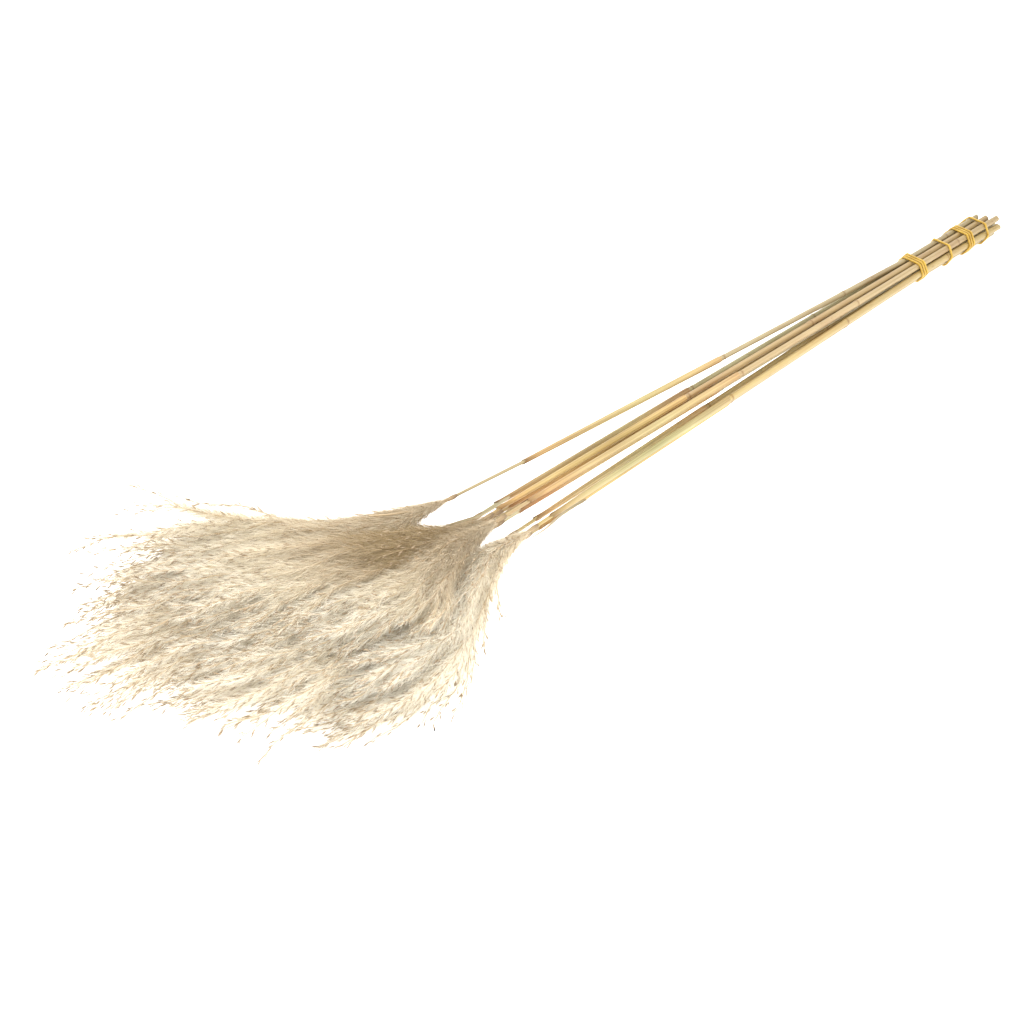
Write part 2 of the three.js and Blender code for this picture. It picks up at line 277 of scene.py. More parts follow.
class Nodes:
    """A material and short ways to add and link its nodes."""

    def __init__(self, name, roughness):
        self.material = bpy.data.materials.new(name)
        self.material.use_nodes = True
        self.tree = self.material.node_tree
        self.shader = next(n for n in self.tree.nodes if n.type == "BSDF_PRINCIPLED")
        self.shader.inputs["Roughness"].default_value = roughness

    def add(self, kind, **settings):
        node = self.tree.nodes.new(kind)
        for key, value in settings.items():
            setattr(node, key, value)
        return node

    def link(self, output, socket):
        self.tree.links.new(output, socket)

    def attribute(self, name):
        return self.add("ShaderNodeAttribute", attribute_name=name).outputs["Fac"]

    def noise(self, scale, stretch=(1, 1, 1), detail=3.0, offset=0.0, along_fibre=False):
        """Noise in object space or along a culm's fibres, drawn out where the stretch is small."""
        if along_fibre:
            place = self.add("ShaderNodeAttribute", attribute_name="fibre").outputs["Vector"]
        else:
            place = self.add("ShaderNodeTexCoord").outputs["Object"]
        mapping = self.add("ShaderNodeMapping")
        mapping.inputs["Scale"].default_value = stretch
        mapping.inputs["Location"].default_value = (offset, offset, offset)
        self.link(place, mapping.inputs["Vector"])
        texture = self.add("ShaderNodeTexNoise")
        texture.inputs["Scale"].default_value = scale
        texture.inputs["Detail"].default_value = detail
        texture.inputs["Roughness"].default_value = 0.55
        self.link(mapping.outputs["Vector"], texture.inputs["Vector"])
        return texture.outputs["Fac"]

    def ramp(self, value, stops):
        """A colour ramp through (place, linear colour) stops."""
        ramp = self.add("ShaderNodeValToRGB")
        elements = ramp.color_ramp.elements
        while len(elements) < len(stops):
            elements.new(0.5)
        for element, (place, colour) in zip(elements, stops):
            element.position = place
            element.color = (*colour, 1)
        self.link(value, ramp.inputs["Fac"])
        return ramp.outputs["Color"]

    def multiply(self, first, second, share=1.0):
        """The first colour, multiplied by the second to the given share."""
        mix = self.add("ShaderNodeMix", data_type="RGBA", blend_type="MULTIPLY")
        factor, first_colour, second_colour = (mix.inputs[k] for k in (0, 6, 7))
        factor.default_value = share
        self.link(first, first_colour)
        self.link(second, second_colour)
        return mix.outputs[2]

    def bump(self, height, distance, strength=1.0):
        bump = self.add("ShaderNodeBump")
        bump.inputs["Distance"].default_value = distance
        bump.inputs["Strength"].default_value = strength
        self.link(height, bump.inputs["Height"])
        self.link(bump.outputs["Normal"], self.shader.inputs["Normal"])

    def colour(self, output):
        self.link(output, self.shader.inputs["Base Color"])


def straw_material(name, light, dark, seed):
    """Dry culm: long fibre streaks, darker weathered stretches and a waxy gloss."""
    nodes = Nodes(name, 0.4)
    streaks = nodes.noise(1300, stretch=(0.006, 1, 1), detail=4, offset=seed, along_fibre=True)
    patches = nodes.noise(60, stretch=(0.25, 1, 1), detail=2, offset=seed + 3, along_fibre=True)
    specks = nodes.noise(420, stretch=(0.3, 1, 1), detail=2, offset=seed + 7, along_fibre=True)
    body = nodes.ramp(patches, [(0.3, dark), (0.5, light), (0.72, shaded(light, 0.93))])
    fibre = nodes.ramp(streaks, [(0.35, (0.7, 0.64, 0.55)), (0.6, (1, 1, 1))])
    fleck = nodes.ramp(specks, [(0.66, (1, 1, 1)), (0.76, (0.55, 0.4, 0.28))])
    node_dark = nodes.ramp(nodes.attribute("node"), [(0.0, (1, 1, 1)), (1.0, (0.62, 0.48, 0.36))])
    colour = nodes.multiply(body, fibre, share=0.65)
    colour = nodes.multiply(colour, fleck, share=0.6)
    colour = nodes.multiply(colour, node_dark)
    golden = nodes.ramp(nodes.attribute("along"), [(0.0, (0.74, 0.72, 0.64)), (0.45, (1, 1, 1))])
    nodes.colour(nodes.multiply(colour, golden))
    nodes.bump(streaks, distance=0.1 * MM, strength=0.35)
    return nodes.material


def pith_material():
    """The dull pores of the cut ends."""
    nodes = Nodes("pith", 0.95)
    pores = nodes.noise(2600, detail=2)
    nodes.colour(nodes.ramp(pores, [(0.35, (0.42, 0.32, 0.2)), (0.62, (0.8, 0.72, 0.55))]))
    nodes.bump(pores, distance=0.15 * MM)
    return nodes.material


def sheath_material(name, light, dark, seed):
    """Dry leaf sheath: fine parallel ribs, orange at its foot, olive above and brown at its torn mouth."""
    nodes = Nodes(name, 0.48)
    stages = [
        (0.0, (0.96, 0.78, 0.63)),
        (0.12, (1.0, 0.9, 0.76)),
        (0.4, (0.94, 0.97, 0.84)),
        (0.75, (1.0, 0.95, 0.85)),
        (0.93, (1.0, 0.82, 0.66)),
        (1.0, (0.5, 0.36, 0.24)),
    ]
    age = nodes.ramp(nodes.attribute("along"), stages)
    ribs = nodes.noise(1700, stretch=(0.004, 1, 1), detail=3, offset=seed, along_fibre=True)
    patches = nodes.noise(50, stretch=(0.25, 1, 1), detail=2, offset=seed + 5, along_fibre=True)
    body = nodes.ramp(patches, [(0.34, dark), (0.55, light), (0.75, shaded(light, 0.8))])
    rib_tint = nodes.ramp(ribs, [(0.38, (0.55, 0.48, 0.4)), (0.6, (1, 1, 1))])
    colour = nodes.multiply(body, rib_tint, share=0.75)
    nodes.colour(nodes.multiply(colour, age))
    nodes.bump(ribs, distance=0.12 * MM, strength=0.5)
    return nodes.material


def hair_material():
    """Silky hair, brown-cream in the heart of the plume, which is partly its own brown and partly painted
    shade, and near white at its edge.
    """
    nodes = Nodes("plume_hair", 0.55)
    stops = [
        (0.0, (0.39, 0.28, 0.135)),
        (0.2, (0.47, 0.355, 0.195)),
        (0.42, (0.68, 0.57, 0.40)),
        (0.7, (0.87, 0.78, 0.60)),
        (1.0, (0.97, 0.925, 0.80)),
    ]
    heart = nodes.ramp(nodes.attribute("tone"), stops)
    foot = nodes.ramp(nodes.attribute("along"), [(0.0, (0.95, 0.92, 0.87)), (0.4, (1, 1, 1))])
    nodes.colour(nodes.multiply(heart, foot))
    nodes.shader.inputs["Sheen Weight"].default_value = 0.12
    nodes.shader.inputs["Sheen Roughness"].default_value = 0.4
    return nodes.material


def spikelet_material():
    """Papery spikelets, browner toward the foot and the tip of each raceme."""
    nodes = Nodes("spikelet", 0.6)
    stops = [
        (0.0, (0.42, 0.32, 0.20)),
        (0.35, (0.58, 0.46, 0.31)),
        (0.7, (0.48, 0.37, 0.24)),
        (1.0, (0.33, 0.25, 0.16)),
    ]
    tip_stops = [(0.0, (0.85, 0.75, 0.62)), (0.5, (1, 1, 1)), (1.0, (0.75, 0.6, 0.45))]
    tone = nodes.ramp(nodes.attribute("tone"), stops)
    tip = nodes.ramp(nodes.attribute("along"), tip_stops)
    nodes.colour(nodes.multiply(tone, tip))
    return nodes.material


def stalk_material():
    """Raceme stalks, dark where they leave the culm."""
    nodes = Nodes("raceme_stalk", 0.55)
    stops = [(0.0, (0.16, 0.1, 0.05)), (0.1, (0.36, 0.25, 0.13)), (1.0, (0.6, 0.46, 0.28))]
    nodes.colour(nodes.ramp(nodes.attribute("tone"), stops))
    return nodes.material


def rubber_material():
    """Cloudy amber rubber with a fine rough skin."""
    nodes = Nodes("amber_rubber", 0.42)
    cloudy = nodes.noise(160, detail=3)
    nodes.colour(nodes.ramp(cloudy, [(0.35, (0.40, 0.23, 0.02)), (0.65, (0.56, 0.36, 0.05))]))
    nodes.bump(nodes.noise(1200, detail=2), distance=0.05 * MM, strength=0.5)
    return nodes.material


def floor_material():
    """A pale floor that gives off a little light of its own, so that it shows almost no shadow."""
    nodes = Nodes("pale_floor", 0.9)
    nodes.shader.inputs["Emission Color"].default_value = (1, 1, 1, 1)
    nodes.shader.inputs["Emission Strength"].default_value = FLOOR_GLOW
    nodes.colour(nodes.ramp(nodes.noise(3, detail=1), [(0.3, (0.93, 0.93, 0.93)), (0.7, (0.95, 0.95, 0.95))]))
    return nodes.material


# ---- Culms ----
class Culm:
    """The smooth culm that a faceted CAD culm stands for: its middle, its taper and its nodes along X."""

    SIDES = 24

    def __init__(self, number):
        self.number = number
        self.stations = Stations(f"culm_{number}")
        x = self.stations.x
        radius = self.stations.radius
        swollen = radius > SWOLLEN_BY * self._taper_guess(x, radius)
        self.nodes = self._groups(x[swollen])
        self.taper_x = x[~swollen]
        self.taper_radius = radius[~swollen]
        self.cut = x[-1]
        self.end = x[0]

    @staticmethod
    def _taper_guess(x, radius):
        """The smallest radius near each station, which a swollen node can't hide."""
        return np.array([radius[np.abs(x - at) < TAPER_WINDOW].min() for at in x])

    @staticmethod
    def _groups(x):
        """The middle of each run of stations that lie close together."""
        gap = 6 * MM
        groups = np.split(x, np.flatnonzero(np.diff(x) > gap) + 1) if len(x) else []
        return [float(group.mean()) for group in groups]

    def centre(self, x):
        return self.stations.centre(x)

    def node_share(self, x, width=NODE_HALF_LENGTH):
        """1 in the middle of a node, falling to 0 on both sides of it."""
        x = np.asarray(x, dtype=float)
        shares = [np.exp(-(((x - node) / width) ** 2)) for node in self.nodes]
        return np.max(shares, axis=0) if shares else np.zeros_like(x)

    def radius(self, x):
        return np.interp(x, self.taper_x, self.taper_radius) * (1 + NODE_SWELL * self.node_share(x))


def ring_points(centres, radii, angles):
    """Rings in planes across X round each centre, shape (rings, sides, 3)."""
    ring = np.stack([np.zeros_like(angles), np.cos(angles), np.sin(angles)], axis=-1)
    return centres[:, None, :] + radii[..., None] * ring[None, :, :]


def straightened(points, culm):
    """Places of points measured from the culm's middle line, for patterns that run along its fibres."""
    places = points - culm.centre(points[:, 0])
    places[:, 0] = points[:, 0]
    return places


def cut_end(culm, radii, angles, random):
    """Rings that close the cut end: the edge of the hard wall, then the rough sunken pith."""
    rings = []
    for inset, depth in CUT_RINGS:
        ring = ring_points(culm.centre([culm.cut]), radii * inset, angles)
        rough = PITH_ROUGHNESS if inset < HARD_WALL_FROM else WALL_ROUGHNESS
        ring[..., 0] += random.uniform(-rough, rough, ring.shape[:2]) - depth
        rings.append(ring)
    return rings


def slanted(rings, culm, slant):
    """The rings with the last few millimetres before the cut sheared, so that the cut is oblique."""
    lean = smoothstep(rings[..., 0], culm.cut - 4 * MM, culm.cut)
    offset = rings - culm.centre(rings[..., 0].ravel()).reshape(rings.shape)
    rings[..., 0] += lean * (slant[0] * offset[..., 1] + slant[1] * offset[..., 2])
    return rings


def culm_piece(culm, random, straw, pith):
    """A smooth culm with swollen, scarred nodes, slight flutes and an oblique cut that shows the pith."""
    fine = [node + step * MM for node in culm.nodes for step in np.arange(-6, 6.5, 0.5)]
    coarse = np.arange(culm.end, culm.cut, 5 * MM)
    inner = [x for x in (*fine, *coarse) if culm.end < x < culm.cut - 0.5 * MM]
    x = np.unique(np.round([culm.end, *inner, culm.cut - 0.4 * MM], 5))
    angles = np.linspace(0, TAU, culm.SIDES, endpoint=False)
    flutes = 1 + 0.012 * np.sin(7 * angles + random.uniform(0, TAU)) + 0.01 * np.sin(2 * angles)
    scar = 1 - SCAR_DEPTH * culm.node_share(x, SCAR_HALF_LENGTH)
    radii = (culm.radius(x) * scar)[:, None] * flutes[None, :]
    slant = random.uniform(-0.35, 0.35, 2)
    tail = ring_points(culm.centre([culm.end]), radii[:1] * 0.05, angles)
    body = ring_points(culm.centre(x), radii, angles)
    rings = slanted(np.concatenate([tail, body, *cut_end(culm, radii[-1:], angles, random)]), culm, slant)
    faces = grid_faces(len(rings), culm.SIDES)
    ring_of_face = np.repeat(np.arange(len(rings) - 1), culm.SIDES)
    slots = np.where(ring_of_face > len(rings) - len(CUT_RINGS), 1, 0)
    points = rings.reshape(-1, 3)
    stain = [[0], culm.node_share(x, NODE_STAIN_HALF_LENGTH), np.zeros(len(CUT_RINGS))]
    node = np.repeat(np.concatenate(stain), culm.SIDES)
    along = (culm.cut - points[:, 0]) / (culm.cut - culm.end)
    attributes = {"node": node, "fibre": straightened(points, culm), "along": along}
    mesh = mesh_from(f"culm_{culm.number}_straw", points, faces, slots, attributes)
    return finish_piece(mesh, f"culm_{culm.number}", [straw, pith])


# ---- Leaf sheaths ----
def sheath_piece(culm, random, material):
    """A dry leaf wrapped tight round the culm: a thin scroll whose edge overlaps, closing on the culm at
    its mouth."""
    stations = Stations(f"sheath_{culm.number}")
    outer = stations.half[:, 1] / math.cos(math.pi / CAD_SHEATH_SIDES)
    foot = stations.x[-1] + 1 * MM
    mouth = stations.x[0] - 1 * MM
    share = np.concatenate([np.linspace(0, 0.04, 8), np.linspace(0.05, 0.9, 50), np.linspace(0.905, 1, 24)])
    across = np.linspace(0, 1, 44)
    start = random.uniform(0, TAU)
    angles = start + TAU * SHEATH_TURNS * across
    x = foot + (mouth - foot) * share
    tight = culm.radius(x) + SHEATH_CLEARANCE
    closing = 1 - smoothstep(np.abs(x - mouth), 2 * MM, 26 * MM)
    opening = 1 - smoothstep(np.abs(x - foot), 0, 3 * MM)
    room = stations.read(x, outer) - SHEATH_WALL - SHEATH_OVERLAP - tight
    loose = tight + SHEATH_LOOSENESS * room
    base = loose + (tight - loose) * np.maximum(closing, 0.8 * opening)
    ragged = SHEATH_TEAR * np.interp(across, np.linspace(0, 1, 12), random.uniform(-1, 1, 12))
    ripple = 1 + 0.012 * np.sin(16 * angles)
    torn = smoothstep(share, 0.93, 1.0)[:, None]
    layers = []
    for thickness in (SHEATH_WALL, 0.0):
        radii = base[:, None] + SHEATH_OVERLAP * across[None, :] + thickness
        ring = ring_points(culm.centre(x), radii * ripple[None, :], angles)
        ring[..., 0] -= torn * (ragged[None, :] + 1.5 * MM)
        layers.append(ring)
    columns = len(across)
    loop = np.concatenate([layers[0], layers[1][:, ::-1]], axis=1)
    faces = [grid_faces(len(x), 2 * columns)]
    j = np.arange(columns - 1)
    for first, direction in ((0, -1), ((len(x) - 1) * 2 * columns, 1)):
        cap = first + np.stack([j, j + 1, 2 * columns - 2 - j, 2 * columns - 1 - j], axis=-1)
        faces.append(cap[:, ::direction])
    points = loop.reshape(-1, 3)
    attributes = {"fibre": straightened(points, culm), "along": np.repeat(share, 2 * columns)}
    name = f"sheath_{culm.number}_leaf"
    mesh = mesh_from(name, points, np.concatenate(faces), attributes=attributes)
    return finish_piece(mesh, f"sheath_{culm.number}", [material])


def blade_piece(culm, back, length, away, random, material):
    """What is left of a leaf blade: a thin curled strip that starts a little back from the sheath's mouth
    and tapers to a point, which bends away from the culm."""
    mouth = Stations(f"sheath_{culm.number}").x[0]
    share = np.linspace(0, 1, 40)
    start = mouth + back
    x = start - share * length
    heading = unit(culm.centre(mouth) - culm.centre(mouth + 60 * MM))
    straight = culm.centre(start) + heading * (share * length)[:, None]
    aside = unit(np.array(away))
    curve = straight + aside * (culm.radius(start) + 0.9 * MM)
    curve += np.array(away) * (share**2)[:, None]
    curve += 0.6 * MM * np.sin(9 * share + random.uniform(0, TAU))[:, None] * np.array([0, 0.5, 1.0])
    wide = 0.8 * MM * (1 - share**3) * smoothstep(share, -0.1, 0.1) + 0.05 * MM
    sides = 12
    rings = tube_along(curve, np.ones(len(share)), sides)
    local = rings - curve[:, None, :]
    twist = 0.5 + 1.5 * share
    tangent = unit(np.gradient(curve, axis=0))
    side = unit(np.cross(tangent, np.array([0, 0, 1.0])))
    up = np.cross(side, tangent)
    side, up = (
        side * np.cos(twist)[:, None] + up * np.sin(twist)[:, None],
        up * np.cos(twist)[:, None] - side * np.sin(twist)[:, None],
    )
    along_side = np.einsum("kji,ki->kj", local, side)[..., None]
    along_up = np.einsum("kji,ki->kj", local, up)[..., None]
    curl = 0.35 * along_side**2
    flat = side[:, None] * along_side * wide[:, None, None]
    flat += up[:, None] * (0.09 * MM * along_up + curl * wide[:, None, None])
    points = (curve[:, None, :] + flat).reshape(-1, 3)
    faces = grid_faces(len(share), sides)
    places = np.stack([np.repeat(x, sides), *local.reshape(-1, 3)[:, 1:].T * MM], axis=-1)
    attributes = {"fibre": places, "along": np.repeat(0.3 + 0.5 * share, sides)}
    mesh = mesh_from(f"sheath_{culm.number}_blade", points, faces, attributes=attributes)
    return finish_piece(mesh, f"sheath_{culm.number}", [material])


# ---- Plumes ----
class Plume:
    """The space of one plume, read from its CAD solid, which its racemes fill."""

    def __init__(self, number, culm):
        self.number = number
        self.culm = culm
        self.stations = Stations(f"plume_{number}")
        self.base = culm.centre(culm.end)
        self.length = culm.end - self.stations.x[0]
        self.heading = unit(self.base - culm.centre(culm.end + 50 * MM))
        self.half_y = self._widest_so_far(self.stations.half[:, 1])
        self.half_z = self._widest_so_far(self.stations.half[:, 2])
        height = self.stations.middle[:, 2].max()
        row = "low" if height < LOW_ROW_BELOW else "middle" if height < MIDDLE_ROW_BELOW else "top"
        self.fill_up, self.fill_down, self.droop = ROW_FILL[row]
        self.dip = DIP.get(number, 0.0)

    def _widest_so_far(self, half):
        """Half sizes that grow from the foot of the plume and don't shrink again toward its tip."""
        growing = WIDENING * (self.culm.end - self.stations.x)
        half = np.maximum(half, np.minimum(growing, half.max()))
        return np.maximum.accumulate(half[::-1])[::-1]

    def section(self, share):
        """Middle and half sizes of the space, a share of the way from the culm to the tip."""
        share = np.asarray(share, dtype=float)
        x = self.culm.end - share * self.length
        straight = self.base + self.heading * (share * self.length / -self.heading[0])[..., None]
        onward = smoothstep(share, 0.0, 0.5)[..., None]
        middle = straight + (self.stations.centre(x) - straight) * onward
        return middle, self.stations.read(x, self.half_y), self.stations.read(x, self.half_z)

    def share_of(self, points):
        """The share of the way from the culm to the tip at which each point lies."""
        return np.clip((self.culm.end - points[:, 0]) / self.length, 0, 1)

    def rachis(self, share):
        """The middle line, on which the racemes stand."""
        return self.section(share)[0]


def keep_in_room(points):
    """Presses points softly back into the room that the CAD box leaves for soft parts."""
    soft = ROOM_SOFTNESS
    for axis in (0, 1, 2):
        below = np.maximum(ROOM_LOW[axis] + soft - points[..., axis], 0)
        points[..., axis] += below - soft * (1 - np.exp(-below / soft))
        above = np.maximum(points[..., axis] - ROOM_HIGH[axis] + soft, 0)
        points[..., axis] -= above - soft * (1 - np.exp(-above / soft))
    return points


def raceme_plan(plume, random):
    """For each raceme of a plume: its place across and upward in the section, the shares of the plume's
    length where it leaves the rachis and where it ends, and how much its tip flares."""
    order = np.arange(RACEMES)
    spread = np.sqrt((order + 0.5) / RACEMES)
    turn = order * TAU * GOLDEN_TURN + random.uniform(0, TAU)
    across = spread * np.cos(turn)
    upward = spread * np.sin(turn)
    upward *= np.where(upward > 0, plume.fill_up, plume.fill_down)
    start = 0.2 * (1 - spread) + random.uniform(0.0, 0.03, RACEMES)
    shortening = FRONT_SHORTENING.get(plume.number, USUAL_FRONT_SHORTENING) * np.clip(-across, 0, 1)
    shortening *= random.uniform(0.0, 1.0, RACEMES)
    behind = BACK_SHORTENING.get(plume.number, 0.0) * np.clip(across, 0, 1)
    shortening += behind * random.uniform(0.3, 1.0, RACEMES)
    stop = REACH.get(plume.number, 1.0) * (random.uniform(0.76, 1.0, RACEMES) - shortening)
    flare = random.uniform(0.3, 1.3, RACEMES)
    return across, upward, start, stop, flare


def raceme_curve(plume, across, upward, start, stop, flare, random):
    """The middle line of one raceme. It leaves the rachis, follows the plume's space at its own place in
    the section, then bends outward at its tip."""
    t = np.linspace(0, 1, RACEME_STEPS)
    share = start + (stop - start) * t
    path, half_y, half_z = plume.section(share)
    leaving = smoothstep(t, 0.0, 0.3)
    narrowing = FRONT_NARROWING.get(plume.number, 1.0) if across < 0 else 1.0
    lean = FRONT_LEAN.get(plume.number, 0.0) * smoothstep(share, 0.3, 1.0)
    path[:, 1] += across * narrowing * half_y * leaving - lean
    path[:, 2] += upward * half_z * leaving
    bending = np.clip((t - 0.4) / 0.6, 0, 1) ** 2 * flare
    front_flare = NARROW_FRONT_FLARE if plume.number in FRONT_NARROWING else FRONT_FLARE
    reach = TIP_FLARE + front_flare * max(-across, 0) * stop
    finger = smoothstep(across, 0.35, 0.9)
    aside, lift = (finger * size for size in BACK_FLARE.get(plume.number, (0.0, 0.0)))
    path[:, 1] += bending * (reach * across + aside + random.uniform(-5, 5) * MM)
    path[:, 2] += bending * (6 * MM * upward + lift + random.uniform(-3, 3) * MM - 4 * MM)
    if plume.dip:
        rising = 1 - finger * smoothstep(share, 0.45, 0.8)
        path[:, 2] -= plume.dip * smoothstep(share, 0.1, 0.4) * rising
    else:
        path[:, 2] -= plume.droop * smoothstep(share, 0.1, 0.8)
    for _ in range(10):
        path[1:-1] = (path[:-2] + 2 * path[1:-1] + path[2:]) / 4
    return path


def raceme_curves(plume, random):
    """The middle lines of one plume's racemes, which wave a little, shape (racemes, steps, 3)."""
    plan = raceme_plan(plume, random)
    curves = np.array([raceme_curve(plume, *places, random) for places in zip(*plan)])
    t = np.linspace(0, 1, RACEME_STEPS)[None, :, None]
    for waves, size in RACEME_WAVES:
        phase = random.uniform(0, TAU, (RACEMES, 1, 3))
        curves += size * np.sin(TAU * waves * t + phase) * smoothstep(t, 0.1, 0.6)
    return keep_in_room(curves)


def curve_length(curve):
    """The length of a curve given by its points."""
    return float(np.linalg.norm(np.diff(curve, axis=0), axis=1).sum())


def read_curve(curve, at):
    """Places and directions at given lengths along a curve."""
    lengths = np.concatenate([[0], np.cumsum(np.linalg.norm(np.diff(curve, axis=0), axis=1))])
    near = 2 * MM
    points, ahead, behind = (
        np.stack([np.interp(at + shift, lengths, curve[:, axis]) for axis in range(3)], axis=-1)
        for shift in (0, near, -near)
    )
    return points, unit(ahead - behind)


def frames(directions, random=None):
    """Two directions across each direction, turned at random if a generator is given."""
    up = np.where(np.abs(directions[:, 2:3]) > 0.9, np.array([[1.0, 0, 0]]), np.array([[0, 0, 1.0]]))
    side = unit(np.cross(directions, up))
    other = np.cross(side, directions)
    if random is None:
        return side, other
    angle = random.uniform(0, TAU, (len(directions), 1))
    return side * np.cos(angle) + other * np.sin(angle), other * np.cos(angle) - side * np.sin(angle)


def spikelet_places(curves, random):
    """The foot, direction and tone of every spikelet of a plume."""
    feet, headings, tones = [], [], []
    for curve in curves:
        total = curve_length(curve)
        at = np.arange(9 * MM, total, SPIKELET_STEP)
        at += random.uniform(-0.12, 0.12, len(at)) * SPIKELET_STEP
        points, forward = read_curve(curve, at)
        side, other = frames(forward)
        turn = np.arange(len(points)) * math.pi + random.normal(0, 0.45, len(points)) + random.uniform(0, TAU)
        for pedicel, lean, shift in PEDICELS:
            angle = (turn + shift)[:, None]
            outward = side * np.cos(angle) + other * np.sin(angle)
            heading = unit(forward + lean * outward + random.normal(0, 0.07, forward.shape))
            feet.append(points + heading * pedicel + outward * 0.25 * MM)
            headings.append(heading)
            tones.append(at / total)
    return np.concatenate(feet), np.concatenate(headings), np.concatenate(tones)


def spindle(sides=4):
    """A unit spikelet along +X: rings of (place, width), closed by its two points."""
    rings = [(0.22, 0.8), (0.55, 1.0)]
    angles = np.linspace(0, TAU, sides, endpoint=False)
    points = [[0.0, 0.0, 0.0]]
    for place, width in rings:
        points += [[place, 0.5 * width * math.cos(a), 0.5 * width * math.sin(a)] for a in angles]
    points.append([1.0, 0.0, 0.0])
    faces = []
    last = len(points) - 1
    for j in range(sides):
        i = (j + 1) % sides
        faces.append([0, 1 + i, 1 + j])
        faces.append([1 + j, 1 + i, 1 + sides + i])
        faces.append([1 + j, 1 + sides + i, 1 + sides + j])
        faces.append([1 + sides + j, 1 + sides + i, last])
    return np.array(points), np.array(faces)


def stamp(shape, faces, feet, headings, lengths, widths, random):
    """Copies of a shape along +X set at each foot and heading. Returns points and faces."""
    side, other = frames(headings, random)
    along = feet[:, None, :] + headings[:, None, :] * (shape[None, :, 0:1] * lengths[:, None, None])
    points = along + side[:, None, :] * (shape[None, :, 1:2] * widths[:, None, None])
    points = points + other[:, None, :] * (shape[None, :, 2:3] * 0.75 * widths[:, None, None])
    points[..., 2] = np.maximum(points[..., 2], LOWEST)
    offsets = np.arange(len(feet))[:, None, None] * len(shape)
    return points.reshape(-1, 3), (faces[None, :, :] + offsets).reshape(-1, 3)


def spikelet_piece(plume, feet, headings, tones, random, material):
    """All spikelets of a plume, smaller near the foot of each raceme."""
    shape, faces = spindle()
    sizes = 0.75 + 0.25 * smoothstep(tones, 0.0, 0.3)
    lengths = SPIKELET_LENGTH * sizes * random.uniform(*SPIKELET_LENGTHS, len(feet))
    widths = SPIKELET_WIDTH * random.uniform(*SPIKELET_WIDTHS, len(feet))
    points, triangles = stamp(shape, faces, feet, headings, lengths, widths, random)
    tone = np.clip(0.1 + 0.8 * tones + random.normal(0, 0.12, len(feet)), 0.02, 0.98)
    tone_points = np.repeat(tone, len(shape))
    along_points = np.tile(shape[:, 0], len(feet))
    attributes = {"tone": tone_points, "along": along_points}
    mesh = mesh_from(f"plume_{plume.number}_spikelets", points, triangles, attributes=attributes)
    edge = 0.008 * np.tile(shape[:, 1], len(feet))
    set_bake_map(mesh, triangles, tone_points + edge, 0.02 + 0.96 * along_points)
    return finish_piece(mesh, f"plume_{plume.number}", [material])


def hair_places(curves, random):
    """The foot and direction of every hair of a plume, and its share of the way along its raceme."""
    feet, headings, ripeness = [], [], []
    lengths = np.array([curve_length(curve) for curve in curves])
    density = min(HAIRS_PER_METRE, HAIRS_BEFORE_THINNING / lengths.sum())
    outermost = smoothstep(np.linspace(0, 1, len(curves)), 0.7, 0.85)
    for curve, length, outer in zip(curves, lengths, outermost):
        at = random.uniform(0, length, int(density * length))
        kept = 1 - BARE_OUTSIDE * outer * (1 - smoothstep(at / length, 0.4, 0.7))
        kept *= 1 - BARE_AT_TIP * smoothstep(at / length, 0.75, 1.0)
        at = at[random.uniform(0, 1, len(at)) < kept]
        points, forward = read_curve(curve, at)
        feet.append(points)
        headings.append(forward)
        ripeness.append(at / length)
    return np.concatenate(feet), np.concatenate(headings), np.concatenate(ripeness)


def hair_tone(plume, share, ripeness):
    """Paler toward the tips of the plume and of its racemes, and brown in the plume's heart, partly its own
    brown and partly painted shade; each plume's paleness is partly its own tone and partly painted light and
    shade.
    """
    heart = np.exp(-(((share - HEART_AT) / HEART_HALF_LENGTH) ** 2))
    tone = FOOT_TONE + TONE_TO_TIP * share + TONE_OF_RIPENESS * ripeness + PALENESS_AND_PAINTED_LIGHT.get(plume.number, 0.0)
    return tone - HEART_DEPTH * HEART_BROWN_AND_SHADE.get(plume.number, 0.0) * heart


def hair_piece(plume, curves, random, material):
    """Silky hairs that spread from the racemes: narrow ribbons that open, bend forward and taper."""
    feet, forward, ripeness = hair_places(curves, random)
    count = len(feet)
    share = plume.share_of(feet)
    side, other = frames(forward, random)
    feet = feet + side * random.uniform(0, 0.7 * MM, (count, 1))
    opening = 0.08 + np.abs(random.normal(0, HAIR_OPENING, (count, 1)))
    heading = unit(forward + opening * side)
    straying = HAIR_STRAYING * random.normal(0, 1, (count, 1))
    onward = unit(forward + HAIR_STAYS_OPEN * opening * side + straying * other)
    length = HAIR_LENGTH * random.uniform(*HAIR_LENGTHS, (count, 1))
    length *= (0.5 + 0.5 * smoothstep(share, 0.0, 0.25) - 0.45 * smoothstep(ripeness, 0.8, 1.0))[:, None]
    half_width = 0.5 * HAIR_WIDTH * np.cross(heading, unit(random.normal(0, 1, (count, 3))))
    middle = feet + heading * length * 0.4
    tip = middle + onward * length * 0.6
    for points in (middle, tip):
        points[:, 2] = np.maximum(points[:, 2], LOWEST)
    points = np.stack([feet, middle - half_width, middle + half_width, tip], axis=1)
    ribbon = np.array([[0, 2, 1], [1, 2, 3]])
    triangles = (ribbon[None] + np.arange(count)[:, None, None] * points.shape[1]).reshape(-1, 3)
    tone = hair_tone(plume, share, ripeness) + random.normal(0, TONE_SPREAD, count)
    tone_points = np.repeat(np.clip(tone, 0.02, 0.98), points.shape[1])
    along_points = np.tile([0.0, 0.5, 0.5, 1.0], count)
    attributes = {"tone": tone_points, "along": along_points}
    name = f"plume_{plume.number}_hair"
    mesh = mesh_from(name, points.reshape(-1, 3), triangles, attributes=attributes)
    edge = np.tile([0.0, -0.004, 0.004, 0.0], count)
    set_bake_map(mesh, triangles, tone_points + edge, 0.02 + 0.96 * along_points)
    return finish_piece(mesh, f"plume_{plume.number}", [material])


